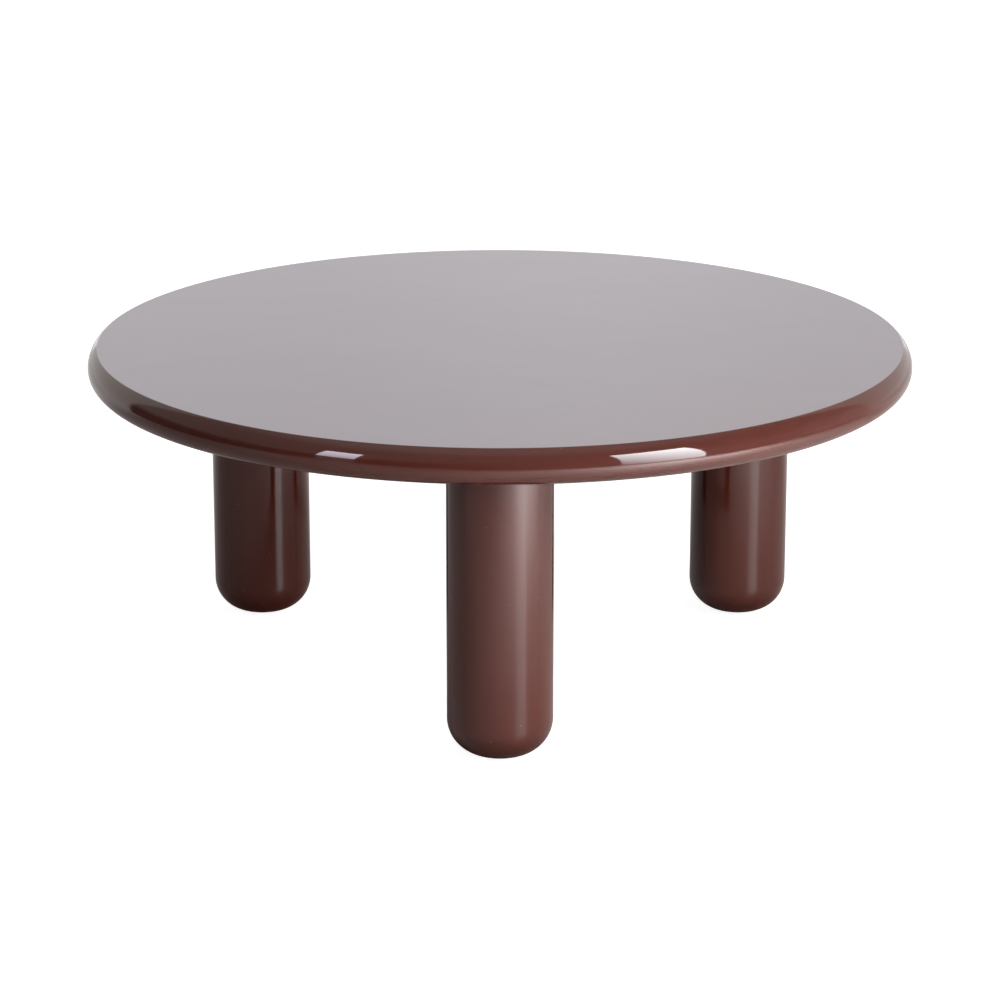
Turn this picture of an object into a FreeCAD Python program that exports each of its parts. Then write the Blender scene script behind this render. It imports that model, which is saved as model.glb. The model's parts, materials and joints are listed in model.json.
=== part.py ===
"""Round cocktail table on three straight round legs, in millimetres.

The origin lies on the floor, on the axis of the table. +Z is up, and the front leg stands towards -Y.
"""
import FreeCAD
import Part
import Sketcher

import enum
import math
import os
import re

SIZES = {
    # The whole table
    "table_height": 431.8,
    "top_diameter": 1066.8,
    # Top: two boards glued face to face; the round edge is widest at the joint, and the flat face stops
    # short of that by the inset, in an eased corner
    "upper_board": 25,
    "lower_board": 21,
    "edge_inset": 12.4,
    "edge_ease": 2,
    # Legs: hollow columns with a solid rounded foot, their axes set in from the edge of the top
    "leg_inset": 156.4,
    "leg_diameter": 131,
    "leg_wall": 18,
    "foot_corner": 45,
    "foot_solid": 60,
    "head_block": 50,
    "glue_gap": 0.1,
    # Steel plate let into the underside of the top, with a threaded boss in the middle
    "plate_margin": 17.5,
    "plate_thickness": 4,
    "plate_gap": 0.5,
    "boss_diameter": 20,
    "boss_gap": 1,
    "boss_cover": 7,
    # Hanger bolt: wood thread in the head block, machine thread in the boss
    "bolt_diameter": 10,
    "bolt_reach": 42,
    "bolt_point": 6,
    "bolt_chamfer": 1,
    "thread_gap": 0.1,
    # Countersunk screws that hold the plate
    "screw_inset": 13,
    "screw_diameter": 5,
    "screw_head": 10,
    "screw_point": 4,
    "screw_cover": 3,
    # Adjustable glide under each foot
    "glide_show": 3.5,
    "glide_travel": 8,
    "glide_gap": 1,
    "seat_gap": 0.3,
    "run_gap": 0.08,
    "base_diameter": 36,
    "base_height": 8.5,
    "base_edge": 1,
    "base_floor": 2,
    "key_hole": 8,
    "stem_diameter": 8,
    "stem_head_diameter": 16,
    "stem_head_height": 3,
    "stem_chamfer": 1,
    "hex_key": 5,
    "hex_depth": 4,
    "insert_diameter": 13,
    "insert_length": 20,
    "insert_chamfer": 0.8,
    "bore_gap": 1,
    # How far a cut starts outside the solid
    "overrun": 1,
}

# The legs in order about +Z, and the direction of the first in degrees from +X
LEGS = ("front", "right", "left")
FRONT_ANGLE = -90
PLATE_SCREWS = 4
HEX_SIDES = 6

# Heights and lengths that follow from the sizes
JOINT_LINE = "(table_height - upper_board)"
UNDERSIDE = "(table_height - upper_board - lower_board)"
TOP_RADIUS = "(top_diameter / 2)"
FACE_RADIUS = "(top_diameter / 2 - edge_inset)"
EDGE_RADIUS = "((edge_inset * edge_inset + upper_board * upper_board) / (2 * edge_inset))"
LEG_PLACE = "(top_diameter / 2 - leg_inset)"
LEG_RADIUS = "(leg_diameter / 2)"
HOLLOW_DIAMETER = "(leg_diameter - 2 * leg_wall)"
HOLLOW_DEPTH = f"({UNDERSIDE} - glide_show - foot_solid)"
BOSS_HEIGHT = "(lower_board - plate_thickness - boss_gap - boss_cover)"
PLATE_DIAMETER = "(leg_diameter - 2 * plate_margin)"
SCREW_PLACE = f"({PLATE_DIAMETER} / 2 - screw_inset)"
SCREW_HOLE = "(screw_diameter + 2 * thread_gap)"
SINK_DEPTH = "((screw_head - screw_diameter) / 2)"
BOLT_HOLE = "(bolt_diameter + 2 * thread_gap)"
SOCKET_TOP = "(base_height + seat_gap)"
INSERT_TOP = f"({SOCKET_TOP} + insert_length)"
STEM_FOOT = "(base_floor + run_gap)"
STEM_TOP = f"({INSERT_TOP} + glide_travel)"
STEM_HOLE_RADIUS = "(stem_diameter / 2 + run_gap)"

NEARLY_ZERO = 1e-9

# Numbers by which a sketch names its own axes
ACROSS_AXIS_INDEX = -1
UPRIGHT_AXIS_INDEX = -2


class Point(enum.IntEnum):
    """Points of an edge, as a sketch numbers them."""
    START = enum.auto()
    END = enum.auto()
    CENTRE = enum.auto()


doc = FreeCAD.newDocument("round_cocktail_table")
sheet = doc.addObject("Spreadsheet::Sheet", "Sizes")
for row, (alias, number) in enumerate(SIZES.items(), start=1):
    sheet.set(f"A{row}", alias)
    sheet.set(f"B{row}", str(number))
    sheet.setAlias(f"B{row}", alias)
doc.recompute()


def formula(text):
    """Expression with every size written as a cell of the sheet."""
    return re.sub(r"[a-z]\w*", lambda word: f"Sizes.{word[0]}" if word[0] in SIZES else word[0], text)


def measure(text):
    """Present value of an expression."""
    return float(sheet.evalExpression(formula(text)))


def new_body(label, leg=None):
    """Empty body; one that belongs to a leg stands on that leg's axis and is turned to face it."""
    body = doc.addObject("PartDesign::Body", label)
    body.Label = label
    if leg:
        turn = 360 * LEGS.index(leg) / len(LEGS)
        angle = FRONT_ANGLE + turn
        rotation = FreeCAD.Rotation(FreeCAD.Vector(0, 0, 1), turn)
        body.Placement = FreeCAD.Placement(FreeCAD.Vector(), rotation)
        body.setExpression("Placement.Base.x", formula(f"{LEG_PLACE} * cos({angle} deg)"))
        body.setExpression("Placement.Base.y", formula(f"{LEG_PLACE} * sin({angle} deg)"))
    return body


def origin_feature(body, role):
    return next(feature for feature in body.Origin.OriginFeatures if feature.Role == role)


def new_sketch(body, name, plane, level=None):
    """Sketch on one of the body's origin planes, raised to a level where one is given."""
    sketch = body.newObject("Sketcher::SketchObject", f"{body.Name}_{name}")
    sketch.AttachmentSupport = [(origin_feature(body, plane), "")]
    sketch.MapMode = "FlatFace"
    if level:
        sketch.setExpression("AttachmentOffset.Base.z", formula(level))
    return sketch


def bind(sketch, name, constraint, text):
    """Adds a dimension under a name and ties it to the sheet."""
    index = sketch.addConstraint(constraint)
    sketch.renameConstraint(index, name)
    sketch.setExpression(f"Constraints.{name}", formula(text))


def pin(sketch, name, edge, point, place):
    """Holds a point of an edge at a place given by two expressions."""
    rules = (("DistanceX", UPRIGHT_AXIS_INDEX), ("DistanceY", ACROSS_AXIS_INDEX))
    for text, (kind, axis) in zip(place, rules):
        distance = measure(text)
        if abs(distance) < NEARLY_ZERO:
            sketch.addConstraint(Sketcher.Constraint("PointOnObject", edge, point, axis))
        else:
            ends = (ACROSS_AXIS_INDEX, Point.START, edge, point)
            bind(sketch, f"{name}_{kind}", Sketcher.Constraint(kind, *ends, distance), text)


def draw_outline(sketch, corners, arcs=None):
    """Closed outline through the corners.

    The edge that leaves a corner named in arcs is an arc about the centre given there, followed
    anticlockwise. The other edges are straight.
    """
    arcs = arcs or {}
    points = [FreeCAD.Vector(measure(x), measure(y), 0) for x, y in corners]
    edges = []
    for index, start in enumerate(points):
        finish = points[(index + 1) % len(points)]
        curve = Part.LineSegment(start, finish)
        if index in arcs:
            centre = FreeCAD.Vector(*[measure(text) for text in arcs[index]], 0)
            angles = [math.atan2(tip.y - centre.y, tip.x - centre.x) for tip in (start, finish)]
            circle = Part.Circle(centre, FreeCAD.Vector(0, 0, 1), (start - centre).Length)
            curve = Part.ArcOfCircle(circle, *angles)
        edges.append(sketch.addGeometry(curve))
    for edge, following in zip(edges, edges[1:] + edges[:1]):
        sketch.addConstraint(Sketcher.Constraint("Coincident", edge, Point.END, following, Point.START))
    for index, (edge, corner) in enumerate(zip(edges, corners)):
        pin(sketch, f"corner{index}", edge, Point.START, corner)
    for index, (across, _) in arcs.items():
        ends = (ACROSS_AXIS_INDEX, Point.START, edges[index], Point.CENTRE)
        bind(sketch, f"centre{index}", Sketcher.Constraint("DistanceX", *ends, measure(across)), across)


def draw_circles(sketch, circles):
    """Circles, each given as the two expressions of its centre and one for its diameter."""
    for index, (x, y, diameter) in enumerate(circles):
        centre = FreeCAD.Vector(measure(x), measure(y), 0)
        circle = Part.Circle(centre, FreeCAD.Vector(0, 0, 1), measure(diameter) / 2)
        edge = sketch.addGeometry(circle)
        pin(sketch, f"centre{index}", edge, Point.CENTRE, (x, y))
        bind(sketch, f"diameter{index}", Sketcher.Constraint("Diameter", edge, measure(diameter)), diameter)


def turned(body, kind, name, corners, arcs=None):
    """Revolution or Groove about the body's own upright axis."""
    sketch = new_sketch(body, f"{name}_outline", "XZ_Plane")
    draw_outline(sketch, corners, arcs)
    feature = body.newObject(f"PartDesign::{kind}", f"{body.Name}_{name}")
    feature.Profile = sketch
    feature.ReferenceAxis = (sketch, ["V_Axis"])
    sketch.Visibility = False
    return feature


def extruded(body, kind, name, sketch, length, upward):
    """Pad or Pocket from a level sketch, upward or downward by a length."""
    feature = body.newObject(f"PartDesign::{kind}", f"{body.Name}_{name}")
    feature.Profile = sketch
    feature.setExpression("Length", formula(length))
    feature.Reversed = upward != (kind == "Pad")
    sketch.Visibility = False
    return feature


def round_feature(body, kind, name, circles, level, length, upward):
    """Pad or Pocket of circles drawn at a level."""
    sketch = new_sketch(body, f"{name}_circles", "XY_Plane", level)
    draw_circles(sketch, circles)
    return extruded(body, kind, name, sketch, length, upward)


def round_pattern(body, name, features, count):
    """Copies of features about the body's upright axis."""
    pattern = body.newObject("PartDesign::PolarPattern", f"{body.Name}_{name}")
    pattern.Originals = features
    pattern.Axis = (origin_feature(body, "Z_Axis"), [""])
    pattern.Angle = 360
    pattern.Occurrences = count
    body.Tip = pattern
    return pattern


def screw_places(across, along):
    """Centres of the plate screws about a point."""
    steps = [360 * number // PLATE_SCREWS for number in range(PLATE_SCREWS)]
    return [
        (f"{across} + {SCREW_PLACE} * cos({step} deg)", f"{along} + {SCREW_PLACE} * sin({step} deg)")
        for step in steps
    ]


def top_upper_board():
    """Upper board, with the upper part of the round edge and the eased corner of the face."""
    body = new_body("top_upper_board")
    face = "table_height"
    corners = [("0", JOINT_LINE), (TOP_RADIUS, JOINT_LINE), (FACE_RADIUS, face), ("0", face)]
    centre = (f"{TOP_RADIUS} - {EDGE_RADIUS}", JOINT_LINE)
    disc = turned(body, "Revolution", "disc", corners, {1: centre})
    doc.recompute()
    ease = body.newObject("PartDesign::Fillet", f"{body.Name}_ease")
    ease.Base = (disc, rim_edges(disc.Shape, measure(FACE_RADIUS), measure(face)))
    ease.setExpression("Radius", formula("edge_ease"))
    return body


def top_lower_board():
    """Lower board, with a quarter-round edge and a recess for each leg plate."""
    body = new_body("top_lower_board")
    shoulder = f"{TOP_RADIUS} - lower_board"
    corners = [("0", UNDERSIDE), (shoulder, UNDERSIDE), (TOP_RADIUS, JOINT_LINE), ("0", JOINT_LINE)]
    turned(body, "Revolution", "disc", corners, {1: (shoulder, JOINT_LINE)})
    front = ("0", f"-{LEG_PLACE}")
    plate = [(*front, f"{PLATE_DIAMETER} + 2 * plate_gap")]
    boss = [(*front, "boss_diameter + 2 * plate_gap")]
    screws = [(*place, SCREW_HOLE) for place in screw_places(*front)]
    cuts = [
        round_feature(body, "Pocket", "recess", plate, UNDERSIDE, "plate_thickness", True),
        round_feature(body, "Pocket", "boss_hole", boss, UNDERSIDE, "lower_board - boss_cover", True),
        round_feature(body, "Pocket", "pilot_holes", screws, UNDERSIDE, "lower_board - screw_cover", True),
    ]
    round_pattern(body, "legs", cuts, len(LEGS))
    return body


def leg_column(leg):
    """Turned leg, hollow from the top, with a rounded foot and a stepped socket for the glide."""
    body = new_body(f"{leg}_leg", leg)
    flat = f"{LEG_RADIUS} - foot_corner"
    corner_height = "glide_show + foot_corner"
    corners = [
        ("0", "glide_show"),
        (flat, "glide_show"),
        (LEG_RADIUS, corner_height),
        (LEG_RADIUS, UNDERSIDE),
        ("0", UNDERSIDE),
    ]
    turned(body, "Revolution", "column", corners, {1: (flat, corner_height)})
    hollow = [("0", "0", HOLLOW_DIAMETER)]
    round_feature(body, "Pocket", "hollow", hollow, UNDERSIDE, HOLLOW_DEPTH, False)
    mouth = "glide_show - overrun"
    base_bore = "base_diameter / 2 + glide_gap"
    insert_bore = "insert_diameter / 2 + glue_gap"
    stem_bore = "stem_diameter / 2 + bore_gap"
    bore_end = f"{STEM_TOP} + bore_gap"
    socket = [
        ("0", mouth),
        (base_bore, mouth),
        (base_bore, SOCKET_TOP),
        (insert_bore, SOCKET_TOP),
        (insert_bore, INSERT_TOP),
        (stem_bore, INSERT_TOP),
        (stem_bore, bore_end),
        ("0", bore_end),
    ]
    turned(body, "Groove", "glide_socket", socket)
    return body


def leg_head_block(leg):
    """Block glued into the top of the hollow leg."""
    body = new_body(f"{leg}_leg_head_block", leg)
    disc = [("0", "0", f"{HOLLOW_DIAMETER} - 2 * glue_gap")]
    bore = [("0", "0", BOLT_HOLE)]
    round_feature(body, "Pad", "disc", disc, UNDERSIDE, "head_block", False)
    round_feature(body, "Pocket", "bolt_bore", bore, UNDERSIDE, "bolt_reach + thread_gap", False)
    return body


def leg_plate(leg):
    """Round steel plate with a threaded boss on top and countersunk screw holes."""
    body = new_body(f"{leg}_leg_plate", leg)
    disc = [("0", "0", PLATE_DIAMETER)]
    boss = [("0", "0", "boss_diameter")]
    thread = [("0", "0", BOLT_HOLE)]
    screws = [(*place, SCREW_HOLE) for place in screw_places("0", "0")]
    boss_foot = f"{UNDERSIDE} + plate_thickness"
    boss_and_plate = f"plate_thickness + {BOSS_HEIGHT}"
    round_feature(body, "Pad", "disc", disc, UNDERSIDE, "plate_thickness", True)
    round_feature(body, "Pad", "boss", boss, boss_foot, BOSS_HEIGHT, True)
    round_feature(body, "Pocket", "thread", thread, UNDERSIDE, boss_and_plate, True)
    holes = round_feature(body, "Pocket", "screw_holes", screws, UNDERSIDE, "plate_thickness", True)
    doc.recompute()
    sinks = body.newObject("PartDesign::Chamfer", f"{body.Name}_countersinks")
    sinks.Base = (holes, rim_edges(holes.Shape, measure(SCREW_HOLE) / 2, measure(UNDERSIDE)))
    sinks.setExpression("Size", formula(SINK_DEPTH))
    return body


def rim_edges(shape, radius, level):
    """Names of the round edges of one radius that lie at a level."""
    return [
        f"Edge{number}"
        for number, edge in enumerate(shape.Edges, start=1)
        if isinstance(edge.Curve, Part.Circle)
        and abs(edge.Curve.Radius - radius) < NEARLY_ZERO * radius
        and abs(edge.Curve.Center.z - level) < NEARLY_ZERO * level
    ]


def plate_screws(leg):
    """Countersunk wood screws, heads flush with the underside of the plate."""
    body = new_body(f"{leg}_plate_screws", leg)
    body.AllowCompound = True
    sketch = new_sketch(body, "screw_outline", "XZ_Plane")
    head = f"{SCREW_PLACE} + screw_head / 2"
    shank = f"{SCREW_PLACE} + screw_diameter / 2"
    neck = f"{UNDERSIDE} + {SINK_DEPTH}"
    tip = f"{UNDERSIDE} + lower_board - screw_cover - thread_gap"
    corners = [
        (SCREW_PLACE, UNDERSIDE),
        (head, UNDERSIDE),
        (shank, neck),
        (shank, f"{tip} - screw_point"),
        (SCREW_PLACE, tip),
    ]
    draw_outline(sketch, corners)
    axis = sketch.addGeometry(Part.LineSegment(*[
        FreeCAD.Vector(measure(SCREW_PLACE), measure(level), 0) for level in (UNDERSIDE, tip)
    ]), True)
    pin(sketch, "axis_foot", axis, Point.START, (SCREW_PLACE, UNDERSIDE))
    pin(sketch, "axis_tip", axis, Point.END, (SCREW_PLACE, tip))
    screw = body.newObject("PartDesign::Revolution", f"{body.Name}_screw")
    screw.Profile = sketch
    screw.ReferenceAxis = (sketch, ["Axis0"])
    sketch.Visibility = False
    round_pattern(body, "set", [screw], PLATE_SCREWS)
    return body


def hanger_bolt(leg):
    """Bolt with a pointed wood thread below and a machine thread above."""
    body = new_body(f"{leg}_hanger_bolt", leg)
    radius = "bolt_diameter / 2"
    tip = f"{UNDERSIDE} - bolt_reach"
    end = f"{UNDERSIDE} + plate_thickness + {BOSS_HEIGHT} - bolt_chamfer"
    corners = [
        ("0", tip),
        (radius, f"{tip} + bolt_point"),
        (radius, f"{end} - bolt_chamfer"),
        (f"{radius} - bolt_chamfer", end),
        ("0", end),
    ]
    turned(body, "Revolution", "bolt", corners)
    return body


def glide_insert(leg):
    """Threaded sleeve in the foot, flush with the roof of the glide's socket."""
    body = new_body(f"{leg}_glide_insert", leg)
    outer = "insert_diameter / 2"
    corners = [
        (STEM_HOLE_RADIUS, f"{SOCKET_TOP} + insert_chamfer"),
        (f"{STEM_HOLE_RADIUS} + insert_chamfer", SOCKET_TOP),
        (outer, SOCKET_TOP),
        (outer, f"{INSERT_TOP} - insert_chamfer"),
        (f"{outer} - insert_chamfer", INSERT_TOP),
        (STEM_HOLE_RADIUS, INSERT_TOP),
    ]
    turned(body, "Revolution", "sleeve", corners)
    return body


def glide_stem(leg):
    """Screw whose head turns in the base, with a hex socket for a key from below."""
    body = new_body(f"{leg}_glide_stem", leg)
    head = "stem_head_diameter / 2"
    shank = "stem_diameter / 2"
    head_top = f"{STEM_FOOT} + stem_head_height"
    corners = [
        ("0", STEM_FOOT),
        (head, STEM_FOOT),
        (head, head_top),
        (shank, head_top),
        (shank, f"{STEM_TOP} - stem_chamfer"),
        (f"{shank} - stem_chamfer", STEM_TOP),
        ("0", STEM_TOP),
    ]
    turned(body, "Revolution", "screw", corners)
    sketch = new_sketch(body, "hexagon", "XY_Plane", STEM_FOOT)
    steps = [360 * number // HEX_SIDES for number in range(HEX_SIDES)]
    corner_radius = "hex_key / 2 / cos(30 deg)"
    draw_outline(sketch, [
        (f"{corner_radius} * cos({step} deg)", f"{corner_radius} * sin({step} deg)") for step in steps
    ])
    extruded(body, "Pocket", "hex_socket", sketch, "hex_depth", True)
    return body


def glide_base(leg):
    """Round base on the floor, with a chamber for the head of the stem and a hole for the key."""
    body = new_body(f"{leg}_glide_base", leg)
    rim = "base_diameter / 2"
    key_hole = "key_hole / 2"
    chamber = "stem_head_diameter / 2 + run_gap"
    chamber_top = "base_floor + stem_head_height + 2 * run_gap"
    flat = f"{rim} - base_edge"
    corners = [
        (key_hole, "0"),
        (flat, "0"),
        (rim, "base_edge"),
        (rim, "base_height"),
        (STEM_HOLE_RADIUS, "base_height"),
        (STEM_HOLE_RADIUS, chamber_top),
        (chamber, chamber_top),
        (chamber, "base_floor"),
        (key_hole, "base_floor"),
    ]
    turned(body, "Revolution", "base", corners, {1: (flat, "base_edge")})
    return body


LEG_PIECES = (
    leg_column,
    leg_head_block,
    leg_plate,
    plate_screws,
    hanger_bolt,
    glide_insert,
    glide_stem,
    glide_base,
)

pieces = [top_upper_board(), top_lower_board()]
pieces += [make(leg) for leg in LEGS for make in LEG_PIECES]
doc.recompute()

faults = [item.Name for item in doc.Objects if {"Invalid", "Error"} & set(item.State)]
for piece in pieces:
    if piece.Shape.isNull() or not piece.Shape.isValid():
        faults.append(piece.Label)
for cut in doc.Objects:
    if cut.TypeId in ("PartDesign::Pocket", "PartDesign::Groove"):
        if cut.Shape.Volume >= cut.BaseFeature.Shape.Volume:
            faults.append(f"{cut.Name} cuts nothing")
if faults:
    raise RuntimeError("not built: " + ", ".join(faults))

os.makedirs("parts", exist_ok=True)
for piece in pieces:
    piece.Shape.exportStep(f"parts/{piece.Label}.step")
    print(f"{piece.Label}: {len(piece.Shape.Solids)} solids, {piece.Shape.Volume:.0f} mm3")
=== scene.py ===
"""Looks of the round cocktail table: lacquered top and legs, hardware, studio and camera, in metres."""

import json
import math

import bpy
from mathutils import Euler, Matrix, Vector


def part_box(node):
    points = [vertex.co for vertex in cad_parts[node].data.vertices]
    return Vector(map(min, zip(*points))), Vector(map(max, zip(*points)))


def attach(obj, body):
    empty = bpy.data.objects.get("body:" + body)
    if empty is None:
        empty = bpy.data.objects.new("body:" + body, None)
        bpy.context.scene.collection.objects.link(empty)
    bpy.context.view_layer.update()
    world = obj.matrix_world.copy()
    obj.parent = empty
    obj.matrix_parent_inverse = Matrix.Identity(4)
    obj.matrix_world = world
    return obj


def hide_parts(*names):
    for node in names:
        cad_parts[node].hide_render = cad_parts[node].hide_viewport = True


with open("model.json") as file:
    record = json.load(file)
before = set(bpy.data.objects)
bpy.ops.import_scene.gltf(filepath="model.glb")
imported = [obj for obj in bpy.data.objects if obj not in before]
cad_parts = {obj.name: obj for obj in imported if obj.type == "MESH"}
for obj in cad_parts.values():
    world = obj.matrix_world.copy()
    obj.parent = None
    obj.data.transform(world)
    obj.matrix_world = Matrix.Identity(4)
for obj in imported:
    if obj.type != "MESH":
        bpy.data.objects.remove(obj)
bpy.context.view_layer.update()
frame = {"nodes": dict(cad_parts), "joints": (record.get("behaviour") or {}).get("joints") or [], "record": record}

LEGS = ("front", "right", "left")
WHITE = (1, 1, 1)

# Shape of the edge, the feet and the sockets
EDGE_INSET = 0.0124
EDGE_EASE = 0.002
FOOT_CORNER = 0.045
SOCKET_GAP = 0.001

# Fineness of the turned meshes
TOP_SEGMENTS = 512
LEG_SEGMENTS = 192
SWEEP_SEGMENTS = 192
ARC_STEPS = 40
EASE_STEPS = 8
EDGE_LOOP = 0.0005
FLAT_LOOPS = (0, 0.25, 0.5, 0.75)
SHARP_ANGLE = math.radians(30)

# Camera: place, downward pitch and focal length in pixels of the 1000 pixel wide picture
CAMERA_PLACE = (0.0, -4.5987, 1.5901)
CAMERA_PITCH = math.radians(16.67)
FOCAL_PIXELS = 3649
PICTURE_PIXELS = 1000
SENSOR_WIDTH = 36.0
CAMERA_RANGE = 200

# Sockets of a Mix node, which has several of one name: its share, and its pairs and results by kind
MIX_SHARE = 0
MIX_NUMBERS = (2, 3)
MIX_NUMBER_RESULT = 0
MIX_COLOURS = (6, 7)
MIX_COLOUR_RESULT = 2

# Textures: scales and counts are per metre, sizes and depths are in metres
NOISE_SPREAD = (0.3, 0.7)
SPECK_CORE = 0.4

# Lacquer: cloudy tone, pigment grains, dust and gloss
LACQUER_IOR = 1.5
CLOUDS = {"scale": 6, "detail": 3}
CLOUD_COLOURS = ((0.038, 0.0083, 0.0051), (0.042, 0.0093, 0.0058))
PIGMENT = {"scale": 700, "detail": 2}
PIGMENT_SHARE = ((0.35, 0.75), (0, 0.3))
PIGMENT_COLOUR = (0.046, 0.011, 0.0075)
DUST = {"count": 45, "size": 0.0008}
DUST_SHARE = 0.35
DUST_COLOUR = (0.3, 0.25, 0.23)
DUST_HEIGHT = 0.00002
GLOSS = {"scale": 25, "detail": 3}
GLOSS_ROUGHNESS = (0.03, 0.045)

# Lacquer: polishing marks, duller sprayed underside, slow waves and orange peel
POLISH = {"scale": (4, 420, 420), "detail": 1}
POLISH_TURNS = ((0.3, 0.2, 0.5), (-0.4, 0.5, -0.7))
POLISH_SPREAD = (0.66, 0.78)
POLISH_ROUGHNESS = 0.008
UNDERSIDE_FACING = (-0.995, -0.97)
UNDERSIDE_ROUGHNESS = 0.22
WAVES = {"scale": 7, "detail": 1.5}
WAVE_DEPTH = 0.0006
PEEL = {"scale": 160, "detail": 1}
PEEL_DEPTH = 0.0000035

# Zinc-plated steel: clouded plating, drawn lines and dull spots
PLATING = {"scale": 90, "detail": 4, "distortion": 0.6}
PLATING_COLOURS = ((0.56, 0.57, 0.6), (0.68, 0.67, 0.63))
DRAWN_LINES = {"scale": (2500, 2500, 120), "detail": 2}
DRAWN_LINE_DEPTH = 0.000006
STEEL_ROUGHNESS = (0.26, 0.4)
DULL_SPOTS = {"count": 300, "size": 0.0009}
DULL_SPOT_SHARE = 0.4
DULL_SPOT_COLOUR = (0.4, 0.4, 0.41)
DULL_SPOT_ROUGHNESS = 0.15

# Black nylon: mould grain, and scuffs by their height above the floor
NYLON_COLOUR = (0.016, 0.016, 0.017)
NYLON_ROUGHNESS = (0.4, 0.52)
MOULD_GRAIN = {"scale": 2600, "detail": 2}
MOULD_GRAIN_DEPTH = 0.00004
SCUFFS = {"scale": 220, "detail": 4, "distortion": 1}
SCUFF_SPREAD = (0.48, 0.66)
SCUFF_SHARE = ((0, 0.0015), (0.8, 0.05))
SCUFF_COLOUR = (0.1, 0.098, 0.094)
SCUFF_ROUGHNESS = 0.2

# Bare beech: tone of the wood, growth rings, ray flecks and pores
TRUNK_SCALE = (1, 1, 0.06)
WOOD_TONE = {"scale": 30, "detail": 2}
WOOD_COLOURS = ((0.56, 0.37, 0.22), (0.62, 0.43, 0.27))
WOOD_ROUGHNESS = (0.5, 0.68)
RINGS = {"Scale": 60, "Distortion": 3, "Detail": 2}
RING_SHARE = 0.55
RING_COLOUR = (0.44, 0.27, 0.15)
FLECKS = {"scale": (900, 900, 130), "detail": 1}
FLECK_SPREAD = (0.62, 0.72)
FLECK_SHARE = 0.7
FLECK_COLOUR = (0.3, 0.17, 0.09)
PORES = {"scale": (2200, 2200, 160), "detail": 2}
PORE_DEPTH = 0.00005

# Gloss of both floors of the stage
STAGE_SPECULAR = 0.25

# Sweep, the pale floor that the camera sees: painted shade, greyer on the camera's side, by place and by bearing
SWEEP_GAP = 0.0005
SWEEP_RADIUS = 30.0
SWEEP_COVE = 6.0
SWEEP_WHITE = (0.6, 0.6, 0.6)
SWEEP_GLOW = 0.86
SWEEP_ROUGHNESS = 0.9
SWEEP_SHADE_COLOUR = (0.03, 0.03, 0.03)
SWEEP_SHADE_GLOW = (0.84, 0.84, 0.84)
SWEEP_SHADE_NEAR = (-1.7, -1.15)
SWEEP_SHADE_AHEAD = (-0.65, -0.4)

# Studio floor, which the lacquer mirrors: painted light, paler before and behind the table; painted contact
# shadows, darker under the feet
STUDIO_CORNERS = ((-2.7, -3.1), (3.3, 4.0))
STUDIO_ROUGHNESS = 0.36
STUDIO_COLOUR = (0.35, 0.335, 0.325)
STUDIO_FRONT_LIT_COLOUR = (0.5, 0.47, 0.46)
STUDIO_BACK_LIT_COLOUR = (0.85, 0.83, 0.82)
# Colour of the painted contact shadow under the feet
STUDIO_FOOT_SHADOW_COLOUR = (0.08, 0.07, 0.065)
STUDIO_FRONT_LIT_SPAN = (-1.0, -0.4)
STUDIO_BACK_LIT_SPAN = (0.3, 1.2)
STUDIO_FOOT_SHADOW_SPAN = (0.03, 0.13)

# Studio around the table, by the sine and cosine of the bearing and the sine of the elevation
LOW_ROOM = ((-0.6, 0.9), (0.08, 0.62))
HIGH_ROOM = 0.42
ROOM_LIFT = ((-0.9, -0.2), (0.12, 0))
ROOM_LEVELS = (0.2, 0.4)
BRIGHT_WALL = ((0.22, 0.275), (1.39, 1.5))
BRIGHT_WALL_FACING = (0.943, 0.953)
WALL_SPOT = ((0, 0.09), (0.09, 0))
WALL_SPOT_SIDE = 0.026
SIDE_WALL = ((-0.5, 0.5), (0.84, 0.94))
SIDE_WALL_FACING = (0.46, 0.52)
CEILING = 0.9
CEILING_LEVELS = (0.66, 0.97)
ROOM_TINT = (1.04, 1, 0.97)
WALL_TINT = (1, 1, 1.06)
WALL_TINT_FACING = (0.9, 0.99)

# Softboxes: bearing in degrees to the right of the camera's side, about a place on the Y axis
LIGHTS_MIDDLE = -0.5
KEY_PLACE = {"bearing": 47, "distance": 2.6, "levels": (0.08, 2.2), "width": 1.15}
KEY_GLOW_PLACE = {**KEY_PLACE, "bearing": 49}
KEY_LOOK = {"radiance": (2, 26), "colour": (0.97, 1, 1.03), "lean": 0.4, "lights": False}
KEY_GLOW_LOOK = {"radiance": (19, 21), "colour": (1, 0.97, 0.97), "mirrored": False}
FILL_PLACE = {"bearing": -47, "distance": 3.2, "levels": (0.85, 2.15), "width": 0.66}
FILL_STAND_PLACE = {**FILL_PLACE, "levels": (0.1, 0.85)}
FILL_LOOK = {"radiance": (7, 13), "colour": (0.95, 0.9, 1.1), "lights": False}
FILL_GLOW_LOOK = {"radiance": (7, 13), "colour": (0.95, 0.88, 1), "mirrored": False}
FILL_STAND_LOOK = {"radiance": (0.45, 0.45), "colour": WHITE}

# Highlights on the near edge: each is at a share of the place of the lamp's point, plus a start
KEY_HIGHLIGHT = {"share": (0.125, 0.044, 0), "start": (-0.051, -0.398, 0.415)}
FILL_HIGHLIGHT = {"share": (0.102, 0.0365, 0), "start": (0.0515, -0.399, 0.417)}
REACH_FADE = (0.012, 0.03)

# Low lamp over the studio floor
FLOOR_LIGHT_SIZE = (1.0, 0.5)
FLOOR_LIGHT_POWER = 135
FLOOR_LIGHT_COLOUR = (1, 0.9, 0.9)
FLOOR_LIGHT_SPREAD = math.radians(110)
FLOOR_LIGHT_PLACE = (1.42, -1.25, 1.4)
FLOOR_LIGHT_TURN = math.radians(47)


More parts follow.
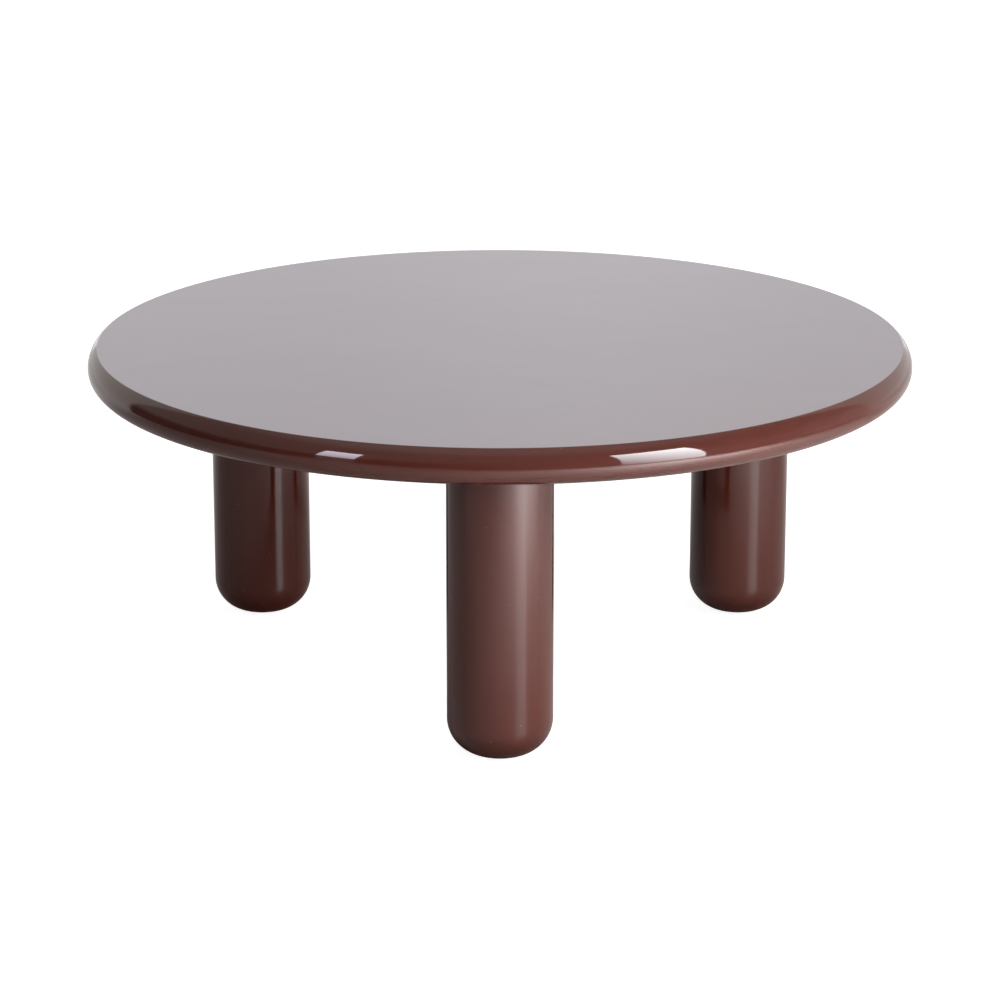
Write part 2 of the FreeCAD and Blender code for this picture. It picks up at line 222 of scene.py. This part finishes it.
def arc(centre, radius, start, end, steps):
    """Points of an arc in the plane of radius and height, from a start to an end angle."""
    points = []
    for step in range(steps + 1):
        angle = start + (end - start) * step / steps
        points.append((centre[0] + radius * math.cos(angle), centre[1] + radius * math.sin(angle)))
    return points


def turned_mesh(name, profile, axis, segments):
    """Surface turned about an upright axis, closed where its profile starts and ends on the axis."""
    vertices = []
    rings = []
    for radius, height in profile:
        count = segments if radius > 0 else 1
        rings.append(range(len(vertices), len(vertices) + count))
        for step in range(count):
            angle = 2 * math.pi * step / segments
            across = axis[0] + radius * math.cos(angle)
            along = axis[1] + radius * math.sin(angle)
            vertices.append((across, along, height))
    faces = []
    for lower, upper in zip(rings, rings[1:]):
        for step in range(segments):
            after = (step + 1) % segments
            corners = [lower[step % len(lower)], lower[after % len(lower)]]
            corners += [upper[after % len(upper)], upper[step % len(upper)]]
            faces.append(list(dict.fromkeys(corners)))
    mesh = bpy.data.meshes.new(name)
    mesh.from_pydata(vertices, [], faces)
    mesh.polygons.foreach_set("use_smooth", [True] * len(mesh.polygons))
    mesh.set_sharp_from_angle(angle=SHARP_ANGLE)
    piece = bpy.data.objects.new(name, mesh)
    bpy.context.scene.collection.objects.link(piece)
    return piece


def node_radius(node):
    """Half the smaller width of a round node's box."""
    low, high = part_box(node)
    return min(high[0] - low[0], high[1] - low[1]) / 2


def node_axis(node):
    """Where the axis of a round node meets the floor."""
    low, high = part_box(node)
    return (low[0] + high[0]) / 2, (low[1] + high[1]) / 2


def node_levels(node):
    """Lowest and highest level of a node."""
    low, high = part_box(node)
    return low[2], high[2]


def top_profile(radius, underside, joint, face):
    """Half section of the top: a quarter-round, a flatter arc above it and an eased corner."""
    lower = joint - underside
    upper = face - joint
    bulge = (EDGE_INSET ** 2 + upper ** 2) / (2 * EDGE_INSET)
    centre = radius - bulge
    ease_place = centre + math.sqrt((bulge - EDGE_EASE) ** 2 - (upper - EDGE_EASE) ** 2)
    ease_angle = math.atan2(upper - EDGE_EASE, ease_place - centre)
    ease_centre = (ease_place, face - EDGE_EASE)
    below = [share * (radius - lower) for share in FLAT_LOOPS] + [radius - lower - EDGE_LOOP]
    above = [share * ease_place for share in FLAT_LOOPS] + [ease_place - EDGE_LOOP]
    profile = [(place, underside) for place in below]
    profile += arc((radius - lower, joint), lower, -math.pi / 2, 0, ARC_STEPS)
    profile += arc((centre, joint), bulge, 0, ease_angle, ARC_STEPS)[1:]
    profile += arc(ease_centre, EDGE_EASE, ease_angle, math.pi / 2, EASE_STEPS)[1:]
    profile += [(place, face) for place in reversed(above)]
    return profile


def make_top(material):
    """Both boards of the top under one coat of lacquer."""
    underside, joint = node_levels("top_lower_board")
    face = node_levels("top_upper_board")[1]
    radius = min(node_radius("top_upper_board"), node_radius("top_lower_board"))
    profile = top_profile(radius, underside, joint, face)
    piece = turned_mesh("lacquered_top", profile, (0, 0), TOP_SEGMENTS)
    piece.data.materials.append(material)
    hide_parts("top_upper_board", "top_lower_board")
    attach(piece, "table")


def make_leg(leg, material):
    """Turned leg with its rounded foot, glide socket and hollow."""
    foot, head = node_levels(f"{leg}_leg")
    radius = node_radius(f"{leg}_leg")
    hollow = node_radius(f"{leg}_leg_head_block")
    block = node_levels(f"{leg}_leg_head_block")[0]
    insert_radius = node_radius(f"{leg}_glide_insert")
    socket_top, insert_top = node_levels(f"{leg}_glide_insert")
    socket_radius = node_radius(f"{leg}_glide_base") + SOCKET_GAP
    flat = radius - FOOT_CORNER
    profile = [(0, insert_top), (insert_radius, insert_top), (insert_radius, socket_top)]
    profile += [(socket_radius, socket_top), (socket_radius, foot), (flat - EDGE_LOOP, foot)]
    profile += arc((flat, foot + FOOT_CORNER), FOOT_CORNER, -math.pi / 2, 0, ARC_STEPS)
    profile += [(radius, head), (hollow, head), (hollow, block), (0, block)]
    piece = turned_mesh(f"lacquered_{leg}_leg", profile, node_axis(f"{leg}_leg"), LEG_SEGMENTS)
    piece.data.materials.append(material)
    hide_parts(f"{leg}_leg")
    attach(piece, "table")


def new_material(name):
    """Material with its node tree and shader."""
    material = bpy.data.materials.new(name)
    material.use_nodes = True
    return material, material.node_tree, material.node_tree.nodes["Principled BSDF"]


def add_node(tree, kind, inputs=None, **settings):
    """Adds a node, sets its properties and fills its inputs with numbers or links."""
    node = tree.nodes.new(kind)
    for name, value in settings.items():
        setattr(node, name, value)
    for key, value in (inputs or {}).items():
        if isinstance(value, bpy.types.NodeSocket):
            tree.links.new(value, node.inputs[key])
        else:
            node.inputs[key].default_value = value
    return node


def own_place(tree):
    """Coordinates of a piece in metres."""
    return add_node(tree, "ShaderNodeTexCoord").outputs["Object"]


def split(tree, vector):
    """The three parts of a vector."""
    return add_node(tree, "ShaderNodeSeparateXYZ", {"Vector": vector}).outputs


def remap(tree, value, source, target=(0, 1), smooth=True):
    """Maps a range of a value to another range, clamped."""
    inputs = {"Value": value, "From Min": source[0], "From Max": source[1]}
    inputs.update({"To Min": target[0], "To Max": target[1]})
    kind = "SMOOTHSTEP" if smooth else "LINEAR"
    return add_node(tree, "ShaderNodeMapRange", inputs, interpolation_type=kind).outputs["Result"]


def calculate(tree, operation, first, second=0):
    """Sum, product or other operation on one or two numbers."""
    return add_node(tree, "ShaderNodeMath", {0: first, 1: second}, operation=operation).outputs[0]


def distance(tree, first, second):
    """Distance between two places."""
    inputs = {0: first, 1: second}
    return add_node(tree, "ShaderNodeVectorMath", inputs, operation="DISTANCE").outputs["Value"]


def blend(tree, share, first, second):
    """Mixes two numbers."""
    inputs = {MIX_SHARE: share, **dict(zip(MIX_NUMBERS, (first, second)))}
    return add_node(tree, "ShaderNodeMix", inputs).outputs[MIX_NUMBER_RESULT]


def blend_colour(tree, share, first, second):
    """Mixes two colours, each given as three numbers or as a link."""
    inputs = {MIX_SHARE: share}
    for key, colour in zip(MIX_COLOURS, (first, second)):
        linked = isinstance(colour, bpy.types.NodeSocket)
        inputs[key] = colour if linked else (*colour, 1)
    return add_node(tree, "ShaderNodeMix", inputs, data_type="RGBA").outputs[MIX_COLOUR_RESULT]


def stretched(tree, place, scale, turn=(0, 0, 0)):
    """Coordinates turned and scaled along each axis."""
    inputs = {"Vector": place, "Rotation": turn, "Scale": scale}
    return add_node(tree, "ShaderNodeMapping", inputs).outputs["Vector"]


def noise(tree, place, scale, detail, distortion=0):
    """Fractal noise with a number of lumps per metre."""
    inputs = {"Vector": place, "Scale": scale, "Detail": detail, "Distortion": distortion}
    return add_node(tree, "ShaderNodeTexNoise", inputs).outputs[0]


def streaks(tree, place, scale, detail, turn=(0, 0, 0)):
    """Fractal noise with a number of lumps per metre along each of three turned axes."""
    return noise(tree, stretched(tree, place, scale, turn), scale=1, detail=detail)


def specks(tree, place, count, size):
    """Small round grains: about count cells per metre, each grain of a radius in metres."""
    inputs = {"Vector": place, "Scale": count}
    cells = add_node(tree, "ShaderNodeTexVoronoi", inputs).outputs["Distance"]
    return remap(tree, cells, (SPECK_CORE * size * count, size * count), (1, 0))


def hairlines(tree, place, turn):
    """Faint straight polishing marks in one direction."""
    return remap(tree, streaks(tree, place, **POLISH, turn=turn), POLISH_SPREAD)


def bump(tree, height, depth, normal=None):
    """Relief of a depth in metres, on top of another relief where one is given."""
    inputs = {"Height": height, "Distance": depth, "Strength": 1.0}
    if normal:
        inputs["Normal"] = normal
    return add_node(tree, "ShaderNodeBump", inputs).outputs["Normal"]


def finish_shader(tree, shader, colour, roughness, normal):
    """Links the colour, roughness and relief to the shader."""
    tree.links.new(colour, shader.inputs["Base Color"])
    tree.links.new(roughness, shader.inputs["Roughness"])
    tree.links.new(normal, shader.inputs["Normal"])


def lacquer_material():
    """Polished burgundy lacquer, cloudy and a little uneven, with a duller sprayed underside."""
    material, tree, shader = new_material("burgundy_lacquer")
    place = own_place(tree)
    upward = split(tree, add_node(tree, "ShaderNodeNewGeometry").outputs["Normal"])["Z"]
    clouds = remap(tree, noise(tree, place, **CLOUDS), NOISE_SPREAD)
    pigment = remap(tree, noise(tree, place, **PIGMENT), *PIGMENT_SHARE)
    dust = specks(tree, place, **DUST)
    mottled = blend_colour(tree, pigment, blend_colour(tree, clouds, *CLOUD_COLOURS), PIGMENT_COLOUR)
    colour = blend_colour(tree, calculate(tree, "MULTIPLY", dust, DUST_SHARE), mottled, DUST_COLOUR)
    gloss = remap(tree, noise(tree, place, **GLOSS), NOISE_SPREAD, GLOSS_ROUGHNESS)
    marks = calculate(tree, "MAXIMUM", *[hairlines(tree, place, turn) for turn in POLISH_TURNS])
    marked = calculate(tree, "ADD", gloss, calculate(tree, "MULTIPLY", marks, POLISH_ROUGHNESS))
    underside = remap(tree, upward, UNDERSIDE_FACING, (1, 0))
    sprayed = calculate(tree, "MULTIPLY", underside, UNDERSIDE_ROUGHNESS)
    roughness = calculate(tree, "ADD", marked, sprayed)
    waves = bump(tree, noise(tree, place, **WAVES), WAVE_DEPTH)
    peel = bump(tree, noise(tree, place, **PEEL), PEEL_DEPTH, waves)
    shader.inputs["IOR"].default_value = LACQUER_IOR
    finish_shader(tree, shader, colour, roughness, bump(tree, dust, DUST_HEIGHT, peel))
    return material


def steel_material():
    """Zinc-plated steel: drawn lines, a faintly clouded plating and small dull spots."""
    material, tree, shader = new_material("zinc_plated_steel")
    place = own_place(tree)
    plating = remap(tree, noise(tree, place, **PLATING), NOISE_SPREAD)
    lines = streaks(tree, place, **DRAWN_LINES)
    spots = specks(tree, place, **DULL_SPOTS)
    tone = blend_colour(tree, plating, *PLATING_COLOURS)
    spotted = calculate(tree, "MULTIPLY", spots, DULL_SPOT_SHARE)
    colour = blend_colour(tree, spotted, tone, DULL_SPOT_COLOUR)
    satin = remap(tree, lines, NOISE_SPREAD, STEEL_ROUGHNESS)
    dull = calculate(tree, "MULTIPLY", spots, DULL_SPOT_ROUGHNESS)
    roughness = calculate(tree, "ADD", satin, dull)
    shader.inputs["Metallic"].default_value = 1.0
    finish_shader(tree, shader, colour, roughness, bump(tree, lines, DRAWN_LINE_DEPTH))
    return material


def nylon_material():
    """Moulded black nylon: fine mould grain and grey scuffs low down, where it rubs on the floor."""
    material, tree, shader = new_material("black_nylon")
    place = own_place(tree)
    grain = noise(tree, place, **MOULD_GRAIN)
    rubbed = remap(tree, noise(tree, place, **SCUFFS), SCUFF_SPREAD)
    low_down = remap(tree, split(tree, place)["Z"], *SCUFF_SHARE)
    scuffs = calculate(tree, "MULTIPLY", rubbed, low_down)
    colour = blend_colour(tree, scuffs, NYLON_COLOUR, SCUFF_COLOUR)
    moulded = remap(tree, grain, NOISE_SPREAD, NYLON_ROUGHNESS)
    dull = calculate(tree, "MULTIPLY", scuffs, SCUFF_ROUGHNESS)
    roughness = calculate(tree, "ADD", moulded, dull)
    finish_shader(tree, shader, colour, roughness, bump(tree, grain, MOULD_GRAIN_DEPTH))
    return material


def growth_rings(tree, place):
    """Growth rings about the upright axis of the coordinates."""
    inputs = {"Vector": place, **RINGS}
    kind = {"wave_type": "RINGS", "rings_direction": "Z"}
    return add_node(tree, "ShaderNodeTexWave", inputs, **kind).outputs[1]


def beech_material():
    """Bare turned beech: growth rings about an axis beside the block, ray flecks and fine pores."""
    material, tree, shader = new_material("bare_beech")
    place = own_place(tree)
    trunk = stretched(tree, place, TRUNK_SCALE)
    tone = remap(tree, noise(tree, trunk, **WOOD_TONE), NOISE_SPREAD)
    rings = calculate(tree, "MULTIPLY", growth_rings(tree, trunk), RING_SHARE)
    flecks = remap(tree, streaks(tree, place, **FLECKS), FLECK_SPREAD)
    pores = streaks(tree, place, **PORES)
    ringed = blend_colour(tree, rings, blend_colour(tree, tone, *WOOD_COLOURS), RING_COLOUR)
    colour = blend_colour(tree, calculate(tree, "MULTIPLY", flecks, FLECK_SHARE), ringed, FLECK_COLOUR)
    roughness = remap(tree, pores, NOISE_SPREAD, WOOD_ROUGHNESS)
    finish_shader(tree, shader, colour, roughness, bump(tree, pores, PORE_DEPTH))
    return material


def stage_material(name, colour, emission, roughness):
    """Finish of a floor of the stage."""
    material, _, shader = new_material(name)
    shader.inputs["Base Color"].default_value = (*colour, 1)
    shader.inputs["Roughness"].default_value = roughness
    shader.inputs["Specular IOR Level"].default_value = STAGE_SPECULAR
    shader.inputs["Emission Color"].default_value = (*WHITE, 1)
    shader.inputs["Emission Strength"].default_value = emission
    return material


def bearing_shares(tree, across, along):
    """Sine and cosine of the bearing of a level direction."""
    level = add_node(tree, "ShaderNodeCombineXYZ", {"X": across, "Y": along}).outputs["Vector"]
    unit = add_node(tree, "ShaderNodeVectorMath", {0: level}, operation="NORMALIZE")
    return split(tree, unit.outputs["Vector"])[:2]


def sweep_material():
    """White paper with painted shade: greyer, and taking little light, on the camera's side of the studio."""
    material = stage_material("pale_sweep", SWEEP_WHITE, SWEEP_GLOW, SWEEP_ROUGHNESS)
    tree = material.node_tree
    shader = tree.nodes["Principled BSDF"]
    across, along, _ = split(tree, own_place(tree))
    _, facing = bearing_shares(tree, across, along)
    near = remap(tree, along, SWEEP_SHADE_NEAR)
    # Painted shade: the sweep turns grey and takes little light on the camera's side
    unshaded = calculate(tree, "MAXIMUM", near, remap(tree, facing, SWEEP_SHADE_AHEAD))
    colour = blend_colour(tree, unshaded, SWEEP_SHADE_COLOUR, SWEEP_WHITE)
    glow = blend_colour(tree, unshaded, SWEEP_SHADE_GLOW, WHITE)
    tree.links.new(colour, shader.inputs["Base Color"])
    tree.links.new(glow, shader.inputs["Emission Color"])
    return material


def add_sweep():
    """Pale floor below the reach of the glides, with a far wall all round, for the camera alone."""
    drops = [joint["range_m"][1] for joint in frame["joints"] if joint["type"] == "slide"]
    level = -max(drops) - SWEEP_GAP
    cove_centre = (SWEEP_RADIUS, level + SWEEP_COVE)
    profile = [(0, level)]
    profile += arc(cove_centre, SWEEP_COVE, -math.pi / 2, 0, ARC_STEPS)
    profile += [(SWEEP_RADIUS + SWEEP_COVE, level + SWEEP_RADIUS)]
    sweep = turned_mesh("sweep", profile, (0, 0), SWEEP_SEGMENTS)
    sweep.data.materials.append(sweep_material())
    sweep.visible_glossy = False
    sweep.visible_diffuse = False
    sweep.visible_shadow = False
    return sweep


def foot_distance(tree, place):
    """Distance along the floor to the axis of the nearest leg."""
    nearest = None
    for leg in LEGS:
        away = distance(tree, place, (*node_axis(f"{leg}_leg"), 0))
        nearest = calculate(tree, "MINIMUM", nearest, away) if nearest else away
    return nearest


def studio_floor_material():
    """Glossy floor with painted light, paler before and behind the table, and painted contact shadows under the
    feet.
    """
    material = stage_material("studio_floor", STUDIO_COLOUR, 0, STUDIO_ROUGHNESS)
    tree = material.node_tree
    place = own_place(tree)
    along = split(tree, place)["Y"]
    # Painted light: the floor is paler before and behind the table
    front = remap(tree, along, STUDIO_FRONT_LIT_SPAN)
    back = remap(tree, along, STUDIO_BACK_LIT_SPAN)
    # Painted contact shadow: the floor darkens towards the axis of each leg
    clear = remap(tree, foot_distance(tree, place), STUDIO_FOOT_SHADOW_SPAN)
    lit_front_floor = blend_colour(tree, front, STUDIO_FRONT_LIT_COLOUR, STUDIO_COLOUR)
    painted_lit_floor = blend_colour(tree, back, lit_front_floor, STUDIO_BACK_LIT_COLOUR)
    colour = blend_colour(tree, clear, STUDIO_FOOT_SHADOW_COLOUR, painted_lit_floor)
    tree.links.new(colour, tree.nodes["Principled BSDF"].inputs["Base Color"])
    return material


def add_mirrored_floor():
    """Studio floor at the level that the table stands on, which the lacquer mirrors."""
    mesh = bpy.data.meshes.new("mirrored_floor")
    low, high = STUDIO_CORNERS
    corners = [(low[0], low[1], 0), (high[0], low[1], 0)]
    corners += [(high[0], high[1], 0), (low[0], high[1], 0)]
    mesh.from_pydata(corners, [], [(0, 1, 2, 3)])
    mesh.materials.append(studio_floor_material())
    mirrored = bpy.data.objects.new("mirrored_floor", mesh)
    bpy.context.scene.collection.objects.link(mirrored)
    mirrored.visible_camera = False
    mirrored.visible_shadow = False
    return mirrored


def add_world():
    """Plain studio: bright wall behind the table, pale ceiling and a darker room behind the camera."""
    world = bpy.data.worlds.new("studio")
    bpy.context.scene.world = world
    world.use_nodes = True
    tree = world.node_tree
    way = add_node(tree, "ShaderNodeTexCoord").outputs["Generated"]
    across, along, up = split(tree, way)
    side, facing = bearing_shares(tree, across, along)
    room_height = calculate(tree, "ADD", up, remap(tree, side, *ROOM_LIFT))
    high_up = remap(tree, room_height, ROOM_LEVELS)
    room = blend(tree, high_up, remap(tree, side, *LOW_ROOM), HIGH_ROOM)
    off_spot = calculate(tree, "ABSOLUTE", calculate(tree, "SUBTRACT", side, WALL_SPOT_SIDE))
    spot = remap(tree, off_spot, *WALL_SPOT)
    bright_wall = calculate(tree, "ADD", remap(tree, up, *BRIGHT_WALL, smooth=False), spot)
    side_wall = remap(tree, side, *SIDE_WALL)
    wall = blend(tree, remap(tree, facing, BRIGHT_WALL_FACING), side_wall, bright_wall)
    around = blend(tree, remap(tree, facing, SIDE_WALL_FACING), room, wall)
    light = blend(tree, remap(tree, up, CEILING_LEVELS), around, CEILING)
    tint = blend_colour(tree, remap(tree, facing, WALL_TINT_FACING), ROOM_TINT, WALL_TINT)
    background = tree.nodes["Background"]
    tree.links.new(tint, background.inputs["Color"])
    tree.links.new(light, background.inputs["Strength"])


def add_camera():
    """Camera at the photo's viewing angle."""
    data = bpy.data.cameras.new("camera")
    data.sensor_fit = "HORIZONTAL"
    data.sensor_width = SENSOR_WIDTH
    data.lens = SENSOR_WIDTH * FOCAL_PIXELS / PICTURE_PIXELS
    data.clip_end = CAMERA_RANGE
    camera = bpy.data.objects.new("camera", data)
    camera.location = CAMERA_PLACE
    camera.rotation_euler = Euler((math.pi / 2 - CAMERA_PITCH, 0, 0))
    bpy.context.scene.collection.objects.link(camera)
    bpy.context.scene.camera = camera


def new_lamp(name, size, power, colour):
    """Rectangular lamp that the camera doesn't see."""
    data = bpy.data.lights.new(name, "AREA")
    data.shape = "RECTANGLE"
    data.size = size[0]
    data.size_y = size[1]
    data.energy = power
    data.color = colour
    lamp = bpy.data.objects.new(name, data)
    lamp.visible_camera = False
    bpy.context.scene.collection.objects.link(lamp)
    return lamp


def within_reach(tree, place, highlight):
    """One as far from a lamp as the highlight that it makes on the near edge, and zero further away."""
    inputs = {0: place, 1: highlight["share"], 2: highlight["start"]}
    target = add_node(tree, "ShaderNodeVectorMath", inputs, operation="MULTIPLY_ADD")
    allowed = distance(tree, place, target.outputs["Vector"])
    length = add_node(tree, "ShaderNodeLightPath").outputs["Ray Length"]
    return remap(tree, calculate(tree, "SUBTRACT", length, allowed), REACH_FADE, (1, 0))


def shade_softbox(data, radiance, lean, reach):
    """Radiance that grows up the lamp, and across it by its lean, up to the reach of a highlight."""
    data.use_nodes = True
    tree = data.node_tree
    geometry = add_node(tree, "ShaderNodeNewGeometry").outputs
    parts = split(tree, geometry["Parametric"])
    share = blend(tree, lean, parts["Y"], parts["X"])
    strength = remap(tree, share, (0, 1), radiance, smooth=False)
    if reach:
        reached = within_reach(tree, geometry["Position"], reach)
        strength = calculate(tree, "MULTIPLY", strength, reached)
    tree.links.new(strength, tree.nodes["Emission"].inputs["Strength"])


def add_softbox(name, place, radiance, colour, lean=0, mirrored=True, lights=True, reach=None):
    """Upright soft light, which may be mirrored only, or light only."""
    angle = math.radians(place["bearing"])
    low, high = place["levels"]
    size = (place["width"], high - low)
    lamp = new_lamp(name, size, math.pi * size[0] * size[1], colour)
    shade_softbox(lamp.data, radiance, lean, reach)
    outward = Vector((math.sin(angle), -math.cos(angle), 0))
    lamp.location = Vector((0, LIGHTS_MIDDLE, (low + high) / 2)) + place["distance"] * outward
    lamp.rotation_euler = (-outward).to_track_quat("-Z", "Y").to_euler()
    lamp.visible_glossy = mirrored
    lamp.visible_diffuse = lights
    return lamp


def add_floor_light():
    """Low lamp that looks straight down and lights the floor to the right of the front leg."""
    lamp = new_lamp("floor_light", FLOOR_LIGHT_SIZE, FLOOR_LIGHT_POWER, FLOOR_LIGHT_COLOUR)
    lamp.data.spread = FLOOR_LIGHT_SPREAD
    lamp.location = FLOOR_LIGHT_PLACE
    lamp.rotation_euler = Euler((0, 0, FLOOR_LIGHT_TURN))
    lamp.visible_glossy = False
    return lamp


def link_light(lamp, piece, state):
    """Keeps a lamp's light off one piece (EXCLUDE) or lets it fall on that piece alone (INCLUDE)."""
    group = bpy.data.collections.new(f"{lamp.name}_link")
    group.objects.link(piece)
    group.collection_objects[0].light_linking.link_state = state
    lamp.light_linking.receiver_collection = group


def add_lights(sweep, studio_floor):
    """Softboxes on the right and on the left, and the low lamp over the studio floor."""
    key_light = add_softbox("key_light", KEY_PLACE, **KEY_LOOK, reach=KEY_HIGHLIGHT)
    link_light(key_light, studio_floor, "EXCLUDE")
    key_sheen = add_softbox("key_sheen", KEY_PLACE, **KEY_LOOK)
    link_light(key_sheen, studio_floor, "INCLUDE")
    add_softbox("key_glow", KEY_GLOW_PLACE, **KEY_GLOW_LOOK)
    link_light(add_floor_light(), sweep, "EXCLUDE")
    fill_light = add_softbox("fill_light", FILL_PLACE, **FILL_LOOK, reach=FILL_HIGHLIGHT)
    link_light(fill_light, studio_floor, "EXCLUDE")
    add_softbox("fill_glow", FILL_PLACE, **FILL_GLOW_LOOK)
    add_softbox("fill_stand", FILL_STAND_PLACE, **FILL_STAND_LOOK)


lacquer = lacquer_material()
finishes = {
    "lacquered_board": lacquer,
    "zinc_steel": steel_material(),
    "glide_plastic": nylon_material(),
    "bare_hardwood": beech_material(),
}

for part in frame["record"]["subparts"]:
    node = frame["nodes"][part["node"]]
    node.data.materials.clear()
    node.data.materials.append(finishes[part["material_slot"]])

make_top(lacquer)
for leg in LEGS:
    make_leg(leg, lacquer)

add_camera()
add_world()
add_lights(add_sweep(), add_mirrored_floor())
bpy.context.scene.view_settings.view_transform = "Standard"
